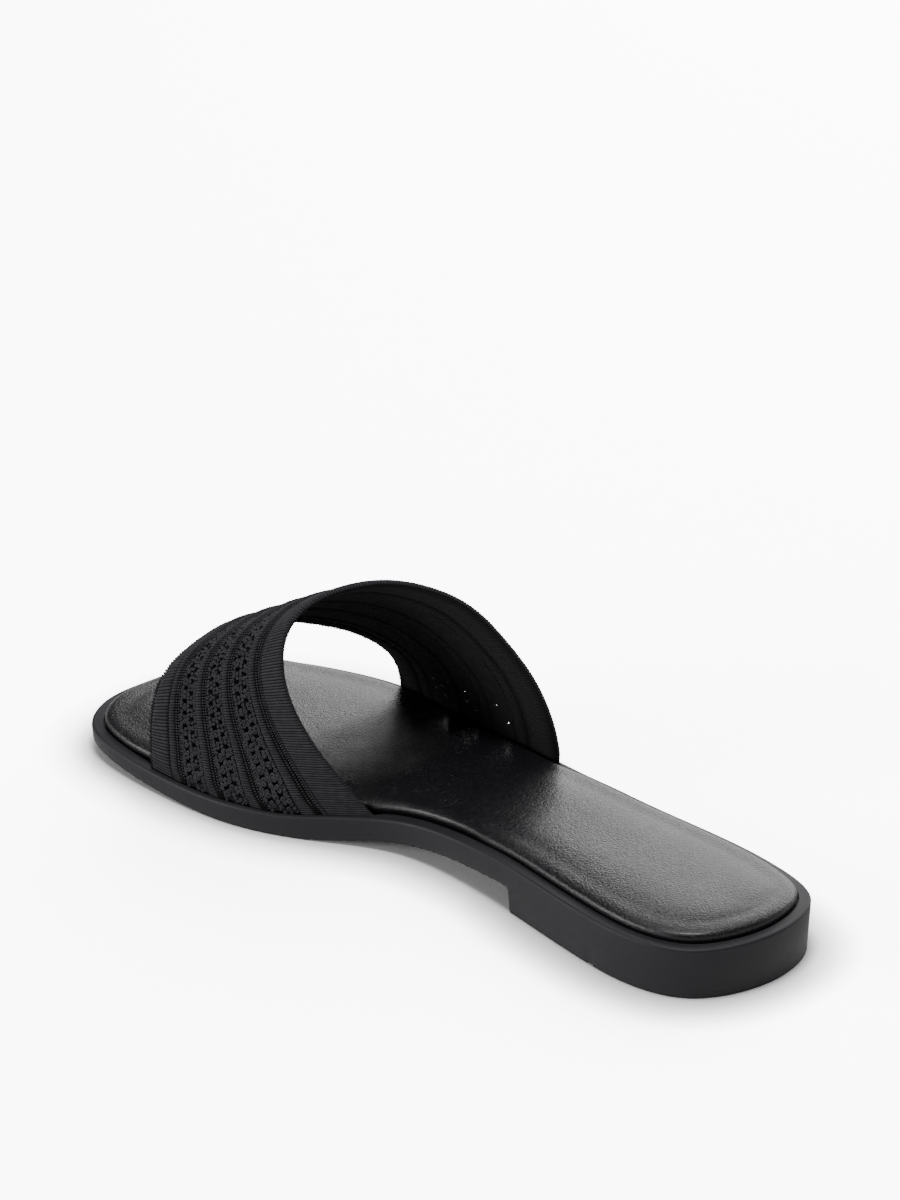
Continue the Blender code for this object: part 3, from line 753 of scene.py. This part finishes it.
def makeBand(kind, start, end, rng):
    look, per = knitLook[kind], knitLook["samplesPerCourse"]
    middle, width = (start + end) / 2, end - start
    courses = countAlong(middle, look["pitch"])
    rows = courses * per + 1
    wander = rng.uniform(-1, 1, courses + 1) * knitLook["courseWander"]
    wander[0] = wander[-1] = 0
    step = np.arange(rows) / per
    step = step + np.interp(step, np.arange(courses + 1), wander)
    turn = turnsAt(middle, step / courses)
    turn[0], turn[-1] = 0.0, 1.0
    phase = (np.arange(rows) % per) / per
    valley = 1 - np.sqrt(np.clip(1 - (2 * phase - 1) ** 2, 0, 1))
    swell = np.append(np.repeat(knitLook["courseSwell"] * rng.uniform(-1, 1, courses), per), 0)
    drop = valley * look["depth"] + swell * knitLook["swellShare"] * look["depth"]
    bends = np.linspace(0, 1, rows) * 2 * np.pi * knitLook["waveCount"] + rng.uniform(0, 6)
    wave = knitLook["wave"] * np.sin(bends)
    inner, relief = -strapShape["inner"], knitLook["innerRelief"]
    section = [(start + at * width, tall * look["height"], 1.0, paintedShadeAmount) for at, tall, paintedShadeAmount in look["section"]]
    section += [(start + at * width, inner + lift * relief, knitLook["innerSide"], paintedShadeAmount)
                for at, lift, paintedShadeAmount in knitLook["innerSection"]]
    columns, paintedShades = [], []
    for share, out, side, paintedShadeAmount in section:
        edge = knitLook["edgeWander"] * (0.5 - valley) if share in (0.0, 1.0) else 0.0
        place, _, _, outward, full = strapFrame(share + edge + np.zeros(rows), turn)
        flat = np.clip(out, -strapShape["pinch"], strapShape["pinch"])
        offset = flat + (out - flat) * full - side * drop * fromLeast(knitLook["footDrop"], full)
        offset = offset + wave * full
        columns.append(place + outward * offset[:, None])
        # painted shade: darker down each course's valley and wherever the section's shade value asks
        paintedShades.append(np.maximum(valley**2, paintedShadeAmount))
    return np.stack(columns, axis=1), np.stack(paintedShades, axis=1)


def closeSweep(name, sweeps, paintedShades):
    # skins each band's grid of points, closes its two ends and stores their painted shade
    verts, faces, first = [], [], 0
    for sweep in sweeps:
        rows, size = sweep.shape[:2]
        grid = np.arange(rows * size).reshape(rows, size) + first
        faces += skin(grid) + [grid[0].tolist(), grid[-1][::-1].tolist()]
        verts.append(sweep.reshape(-1, 3))
        first += rows * size
    mesh = newMesh(name, np.concatenate(verts), faces)
    storeValues(mesh, "paintedShade", np.concatenate([s.ravel() for s in paintedShades]))
    return tidyMesh(mesh, knitLook["smoothAngle"])


def makeBands():
    rng = np.random.default_rng(knitLook["seed"])
    edges, ribs = [], []
    for kind, start, end in knitLook["bands"]:
        (ribs if kind == "rib" else edges).append(makeBand(kind, start, end, rng))
    piece = addPiece("strap_edge_bands", closeSweep("strapEdgeBands", *zip(*edges)), yarn)
    addPiece("strap_ribs", closeSweep("strapRibs", *zip(*ribs)), yarn)
    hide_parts("strap")


def repeatTree(name, shape, inputs):
    # one node tree for a knitted element repeated over the guide's points
    tree = bpy.data.node_groups.new(name, "GeometryNodeTree")
    face = tree.interface
    face.new_socket("Geometry", in_out="INPUT", socket_type="NodeSocketGeometry")
    for label, value in inputs.items():
        kind = "NodeSocketInt" if isinstance(value, int) else "NodeSocketFloat"
        face.new_socket(label, in_out="INPUT", socket_type=kind).default_value = value
    face.new_socket("Material", in_out="INPUT", socket_type="NodeSocketMaterial")
    face.new_socket("Geometry", in_out="OUTPUT", socket_type="NodeSocketGeometry")
    source, target = addNode(tree, "NodeGroupInput"), addNode(tree, "NodeGroupOutput")
    element, output = shape(tree, source)
    along, out, size = (
        addNode(tree, "GeometryNodeInputNamedAttribute", {"Name": label}, data_type=kind)
        for label, kind in (("alongWay", "FLOAT_VECTOR"), ("outWay", "FLOAT_VECTOR"), ("sizeShare", "FLOAT"))
    )
    axes = addNode(tree, "FunctionNodeAxesToRotation", primary_axis="Z", secondary_axis="X")
    jitter = addNode(tree, "FunctionNodeRandomValue", data_type="FLOAT")
    scale = addNode(tree, "ShaderNodeMath", operation="MULTIPLY")
    points, realize, shade, paint = (
        addNode(tree, "GeometryNode" + kind)
        for kind in ("InstanceOnPoints", "RealizeInstances", "SetShadeSmooth", "SetMaterial")
    )
    joinNodes(
        tree,
        (out, "Attribute", axes, "Primary Axis"), (along, "Attribute", axes, "Secondary Axis"),
        (source, "Least Size", jitter, 2), (source, "Most Size", jitter, 3), (source, "Seed", jitter, "Seed"),
        (size, "Attribute", scale, 0), (jitter, 1, scale, 1),
        (source, "Geometry", points, "Points"), (element, output, points, "Instance"),
        (axes, "Rotation", points, "Rotation"), (scale, 0, points, "Scale"),
        (points, "Instances", realize, "Geometry"), (realize, "Geometry", shade, "Geometry"),
        (shade, "Geometry", paint, "Geometry"), (source, "Material", paint, "Material"),
        (paint, "Geometry", target, "Geometry"),
    )
    return tree


def loopShape(tree, source):
    # an oval loop of yarn, lying in the wall
    path = addNode(tree, "GeometryNodeCurvePrimitiveCircle", {"Resolution": 8})
    yarnRing = addNode(tree, "GeometryNodeCurvePrimitiveCircle", {"Resolution": 5})
    squeeze = addNode(tree, "GeometryNodeTransform")
    shape = addNode(tree, "ShaderNodeCombineXYZ", {"X": 1.0, "Z": 1.0})
    tube = addNode(tree, "GeometryNodeCurveToMesh")
    joinNodes(
        tree,
        (source, "Loop Radius", path, "Radius"), (source, "Yarn Radius", yarnRing, "Radius"),
        (source, "Squeeze", shape, "Y"), (path, "Curve", squeeze, "Geometry"),
        (shape, "Vector", squeeze, "Scale"), (squeeze, "Geometry", tube, "Curve"),
        (yarnRing, "Curve", tube, "Profile Curve"),
    )
    return tube, "Mesh"


def beadShape(tree, source):
    # a small rounded stitch
    ball = addNode(tree, "GeometryNodeMeshUVSphere", {"Segments": 8, "Rings": 5})
    stretch = addNode(tree, "GeometryNodeTransform")
    shape = addNode(tree, "ShaderNodeCombineXYZ", {"Y": 1.0, "Z": 0.8})
    joinNodes(
        tree,
        (source, "Stitch Radius", ball, "Radius"), (source, "Stretch", shape, "X"),
        (ball, "Mesh", stretch, "Geometry"), (shape, "Vector", stretch, "Scale"),
    )
    return stretch, "Geometry"


def growPiece(name, rows, shape, inputs):
    # grows a shape on guide points and keeps the result as a plain mesh; each row holds points, their ways
    # along the yarn and out of the wall, and their sizes
    places, *ways = (np.concatenate(values) for values in zip(*rows))
    guide = addObject(name + "_guide", newMesh(name + "_guide", places))
    for label, values in zip(("alongWay", "outWay", "sizeShare"), ways):
        storeValues(guide.data, label, values)
    tree = repeatTree(name + "_tree", shape, inputs)
    modifier = guide.modifiers.new("grow", "NODES")
    modifier.node_group = tree
    given = {**inputs, "Material": yarn}
    for item in tree.interface.items_tree:
        if item.item_type == "SOCKET" and item.in_out == "INPUT" and item.name in given:
            modifier[item.identifier] = given[item.name]
    bpy.context.view_layer.update()
    grown = bpy.data.meshes.new_from_object(guide.evaluated_get(bpy.context.evaluated_depsgraph_get()))
    guide.modifiers.remove(modifier)
    old = guide.data
    bpy.data.objects.remove(guide)
    bpy.data.meshes.remove(old)
    grown.name = name
    return addPiece(name, grown, yarn)


openworkLook = {
    "unit": 3.9 * mm,
    # place across the stripe, then the loops' places along the unit; the holes take the missing ones
    "columns": (
        (0.09, (0.083, 0.417, 0.750)), (0.29, (0.583, 0.917)), (0.50, (0.083, 0.417, 0.750)),
        (0.71, (0.083, 0.417)), (0.90, (0.250, 0.583, 0.917)),
    ),
    "holes": ((0.29, 0.25), (0.71, 0.75)),
    "proud": 0.56 * mm,
    "placeWander": 0.10 * mm,
    "headings": (25, 65),  # degrees from the course that a loop lies at, to either side
    "tilt": 0.4,
    "fullWidth": 8.2 * mm,
    "widthSizes": (0.78, 1.12),
    "footSize": 0.8,
    "seed": 23,
    "tree": {"Loop Radius": 0.60 * mm, "Yarn Radius": 0.38 * mm, "Squeeze": 0.74, "Least Size": 0.86,
             "Most Size": 1.14, "Seed": 7},
    "sheet": {
        "rows": 8, "cells": 12, "overlap": 0.03, "ends": (0.002, 0.998), "plainRows": (2, 4),
        "outer": 0.12 * mm, "inner": -0.65 * mm, "wander": 0.11 * mm, "lump": 0.16 * mm, "pit": -0.45 * mm,
        # shade and the inner shade are painted shade: the ground behind the loops and its inner face are
        # darkened
        "shade": 0.80, "paintedInnerShade": 0.65, "footInner": 0.6, "footOuter": 0.5, "smoothAngle": 80,
        # the holes that go right through: stripe, units up from the outer foot, which hole of the unit
        "open": (
            (0, 3, 0), (0, 3, 1), (0, 4, 0), (0, 4, 1), (1, 3, 0), (1, 3, 1), (1, 4, 0), (2, 3, 1),
            (2, 4, 0),
        ),
    },
}


def unitTurns(share, count, along):
    # turn values for places along the stripe given in units
    return turnsAt(share, np.clip(along / count, 0.001, 0.999))


def makeOpenwork():
    look = openworkLook
    rng = np.random.default_rng(look["seed"])
    loops = []
    for start, end in knitLook["openings"]:
        units = countAlong((start + end) / 2, look["unit"])
        for across, steps in look["columns"]:
            along = (np.arange(units)[:, None] + np.array(steps)[None, :]).ravel()
            turn = unitTurns((start + end) / 2, units, along)
            count = len(turn)
            share = np.full(count, start + (end - start) * across)
            place, rearward, around, outward, full = strapFrame(share, turn)
            sides = [strapMiddle(np.full(count, edge), turn) for edge in (start, end)]
            width = np.linalg.norm(sides[1] - sides[0], axis=1)
            angle = np.radians(rng.uniform(*look["headings"], count) * rng.choice((-1, 1), count))
            way = rearward * np.cos(angle)[:, None] + around * np.sin(angle)[:, None]
            place = place + outward * (look["proud"] * full)[:, None]
            place = place + rng.normal(0, look["placeWander"], place.shape)
            tilt = rng.uniform(-look["tilt"], look["tilt"], (2, count, 1))
            lean = outward + tilt[0] * around + tilt[1] * rearward
            wide = np.clip(width / look["fullWidth"], *look["widthSizes"])
            loops.append((place, way, lean, fromLeast(look["footSize"], full) * wide))
    growPiece("strap_openwork", loops, loopShape, look["tree"])


def makeNet():
    # the pierced ground of each openwork stripe, behind its loops, darkened with painted shade
    look, sheet = openworkLook, openworkLook["sheet"]
    rng = np.random.default_rng(look["seed"] + 1)
    verts, faces, paintedShades, first = [], [], [], 0
    for stripe, (start, end) in enumerate(knitLook["openings"]):
        units = countAlong((start + end) / 2, look["unit"])
        rows, cells = units * sheet["rows"], sheet["cells"]
        turn = unitTurns((start + end) / 2, units, np.arange(rows + 1) / sheet["rows"])
        turn[0], turn[-1] = sheet["ends"]
        acrossAll = np.linspace(-sheet["overlap"], 1 + sheet["overlap"], cells + 1)
        wide, tall = np.meshgrid(acrossAll, turn)
        share = start + (end - start) * wide.ravel()
        place, rearward, around, outward, full = strapFrame(share, tall.ravel())
        shift = rng.uniform(-1, 1, (2, len(place), 1)) * sheet["wander"]
        place = place + shift[0] * rearward + shift[1] * around
        lump = sheet["lump"] * rng.uniform(-1, 1, len(place))
        depth = (sheet["inner"] - 0.5 * lump) * fromLeast(sheet["footInner"], full)
        inner = place + outward * depth[:, None]
        solid = np.ones((rows, cells), bool)
        grid = np.arange(len(place)).reshape(rows + 1, cells + 1)
        # painted shade on the ground behind the loops
        shade = np.full(len(place), sheet["shade"])
        middles = (acrossAll[:-1] + acrossAll[1:]) / 2
        for hole, (across, along) in enumerate(look["holes"]):
            column = int(np.argmin(np.abs(middles - across)))
            for unit in range(units):
                row = int(round((unit + along) * sheet["rows"])) - 1
                if not sheet["plainRows"][0] < row < rows - sheet["plainRows"][1]:
                    continue
                pit = grid[row:row + 3, column:column + 3].ravel()
                lump[pit] = sheet["pit"] - sheet["outer"]
                # painted shade: the blind holes are made fully dark
                shade[pit] = 1.0
                if (stripe, units - unit, hole) in sheet["open"]:
                    solid[row:row + 2, column:column + 2] = False
        height = (sheet["outer"] + lump) * fromLeast(sheet["footOuter"], full)
        outer = place + outward * height[:, None]
        flip = len(place)
        for i, j in np.argwhere(solid).tolist():
            corners = [int(v) + first for v in (*grid[i, j:j + 2], *grid[i + 1, j:j + 2][::-1])]
            faces += [tuple(corners), tuple(c + flip for c in reversed(corners))]
            beside = ((i - 1, j), (i, j + 1), (i + 1, j), (i, j - 1))
            for u, v, (ni, nj) in zip(corners, corners[1:] + corners[:1], beside):
                if not (0 <= ni < rows and 0 <= nj < cells) or not solid[ni, nj]:
                    faces.append((v, u, u + flip, v + flip))
        verts += [outer, inner]
        paintedShades += [shade, np.full(flip, sheet["paintedInnerShade"])]
        first += 2 * flip
    mesh = newMesh("strapNet", np.concatenate(verts), faces)
    storeValues(mesh, "paintedShade", np.concatenate(paintedShades))
    addPiece("strap_net", tidyMesh(mesh, sheet["smoothAngle"]), yarn)


stitchLook = {
    "rows": ((0.725, 0.72), (0.90, 0.62)),  # place across the rib, share of its height
    "footOut": 0.2 * mm,
    "footSize": 0.8,
    "slant": 0.35,
    "tree": {"Stitch Radius": 0.32 * mm, "Stretch": 1.15, "Least Size": 0.86, "Most Size": 1.12, "Seed": 3},
}


def makeStitches():
    # two rows of small stitches down the heel side of each rib
    look, rib = stitchLook, knitLook["rib"]
    stitches = []
    for kind, start, end in knitLook["bands"]:
        if kind != "rib":
            continue
        count = countAlong((start + end) / 2, rib["pitch"])
        turn = turnsAt((start + end) / 2, (np.arange(count) + 0.5) / count)
        for at, tall in look["rows"]:
            share = start + (end - start) * at
            place, rearward, around, outward, full = strapFrame(np.full(count, share), turn)
            top = rib["height"] * tall - look["tree"]["Stitch Radius"]
            out = look["footOut"] + (top - look["footOut"]) * full
            way, size = rearward + look["slant"] * around, fromLeast(look["footSize"], full)
            stitches.append((place + outward * out[:, None], way, outward, size))
    growPiece("strap_stitches", stitches, beadShape, look["tree"])


picotLook = {
    "middle": 0.06,
    "ahead": -0.0112,  # share of the strap's length ahead of its toe edge
    "proud": 0.15 * mm,
    "footSize": 0.75,
    # painted shade: the beads are darkened as if shaded at the toe edge
    "paintedShadeAmount": 0.62,
    "tree": {"Stitch Radius": 0.92 * mm, "Stretch": 0.55, "Least Size": 0.85, "Most Size": 1.12, "Seed": 9},
}


def makePicot():
    # the beaded loops along the toe edge, one to a course
    look = picotLook
    count = countAlong(look["middle"], knitLook["frontBand"]["pitch"])
    turn = turnsAt(look["middle"], (np.arange(count) + 0.5) / count)
    place, _, around, outward, full = strapFrame(np.full(count, look["ahead"]), turn)
    place = place + outward * (look["proud"] * full)[:, None]
    beads = [(place, around, outward, fromLeast(look["footSize"], full))]
    piece = growPiece("strap_picot", beads, beadShape, look["tree"])
    # painted shade on the beads
    storeValues(piece.data, "paintedShade", np.full(len(piece.data.vertices), look["paintedShadeAmount"]))


for makePart, label in (
    (makeOutsole, "outsole"), (makeInsole, "insole"), (makeBands, "knit bands"),
    (makeOpenwork, "openwork loops"), (makeNet, "openwork ground"), (makeStitches, "rib stitches"),
    (makePicot, "picot edge"),
):
    makePart()
    print(label, "made")

studio = {
    "floorSize": 6.0,
    "paper": (0.85, 0.85, 0.85, 1),
    "paperSeen": 8.5,
    # painted contact shadow: its reach, how steeply it darkens, its least brightness and its samples
    "paintedShadowReach": 0.019,
    "paintedShadowPower": 5.5,
    "paintedShadowLeast": 0.10,
    "paintedShadowSamples": 32,
    "world": (1.0, 1.0, 1.0, 1),
    "worldStrength": 0.12,
    "lights": (  # name, place, aim, size, power in watts
        ("farBackdrop", (1.40, 0.20, 0.68), (0.0, 0.0, 0.05), (2.2, 1.18), 30.0),
        ("topKey", (-0.15, -0.10, 1.50), (0, 0, 0), (0.4, 0.3), 13.0),
        ("nearFill", (-1.30, 0.90, 0.48), (0, 0, 0), (0.9, 0.6), 15.0),
    ),
}


def makeStudio():
    half = studio["floorSize"] / 2
    corners = [(-half, -half, 0), (half, -half, 0), (half, half, 0), (-half, half, 0)]
    floor = addObject("studioFloor", newMesh("studioFloor", corners, [(0, 1, 2, 3)]))
    # the paper is overexposed to the camera and lights the shoe as plain pale card
    material, tree, shader = newMaterial("floorPaper")
    rays = addNode(tree, "ShaderNodeLightPath")
    seen = addNode(tree, "ShaderNodeMix", {6: studio["paper"]}, data_type="RGBA")
    paper = addNode(tree, "ShaderNodeBsdfDiffuse")
    # painted contact shadow: ambient occlusion darkens the paper's seen colour where the shoe stands near it
    reach = {"Distance": studio["paintedShadowReach"]}
    contact = addNode(tree, "ShaderNodeAmbientOcclusion", reach, samples=studio["paintedShadowSamples"])
    deepen = addNode(tree, "ShaderNodeMath", {1: studio["paintedShadowPower"]}, operation="POWER")
    ends = {"To Min": studio["paperSeen"] * studio["paintedShadowLeast"], "To Max": studio["paperSeen"]}
    lift = addNode(tree, "ShaderNodeMapRange", ends)
    joinNodes(
        tree,
        (contact, "AO", deepen, 0), (deepen, 0, lift, "Value"), (lift, "Result", seen, 7),
        (rays, "Is Camera Ray", seen, "Factor"), (seen, 2, paper, "Color"),
        (paper, "BSDF", tree.nodes["Material Output"], "Surface"),
    )
    tree.nodes.remove(shader)
    floor.data.materials.append(material)
    world = bpy.data.worlds.new("studioWorld")
    bpy.context.scene.world = world
    world.use_nodes = True
    back = {"Color": studio["world"], "Strength": studio["worldStrength"]}
    setInputs(world.node_tree.nodes["Background"], back)
    for name, place, aim, size, power in studio["lights"]:
        lamp = bpy.data.lights.new(name, "AREA")
        lamp.shape = "RECTANGLE"
        lamp.size, lamp.size_y = size
        lamp.energy = power
        light = addObject(name, lamp)
        light.location = place
        light.rotation_euler = (Vector(aim) - Vector(place)).to_track_quat("-Z", "Y").to_euler()


view = {
    "heading": 39.705,  # degrees from +X towards +Y
    "down": 31.818,
    "roll": -0.284,
    "distance": 2.0,
    "aim": (-0.0036, 0.0, 0.010),
    "aimInPhoto": (456.1, 805.9),
    "photoSize": (900, 1200),
    "focalPixels": 6402.0,
    "sensor": 36.0,
    "seesTo": 50,
}


def makeCamera():
    heading, down, roll = (math.radians(view[k]) for k in ("heading", "down", "roll"))
    level = math.cos(down)
    forward = Vector((math.cos(heading) * level, math.sin(heading) * level, -math.sin(down)))
    flat = Vector((math.sin(heading), -math.cos(heading), 0))
    upright = flat.cross(forward)
    right = math.cos(roll) * flat + math.sin(roll) * upright
    up = -math.sin(roll) * flat + math.cos(roll) * upright
    place = Vector(view["aim"]) - forward * view["distance"]
    width, height = view["photoSize"]
    across, below = view["aimInPhoto"][0] - width / 2, view["aimInPhoto"][1] - height / 2
    axis = (forward * view["focalPixels"] - right * across + up * below).normalized()
    side = axis.cross(up).normalized()
    top = side.cross(axis)
    lens = bpy.data.cameras.new("photoCamera")
    lens.sensor_width = view["sensor"]
    lens.lens = view["focalPixels"] * view["sensor"] / max(width, height)
    lens.clip_end = view["seesTo"]
    camera = addObject("photoCamera", lens)
    camera.matrix_world = Matrix.Translation(place) @ Matrix((side, top, -axis)).transposed().to_4x4()
    bpy.context.scene.camera = camera


makeStudio()
makeCamera()
print("studio made")
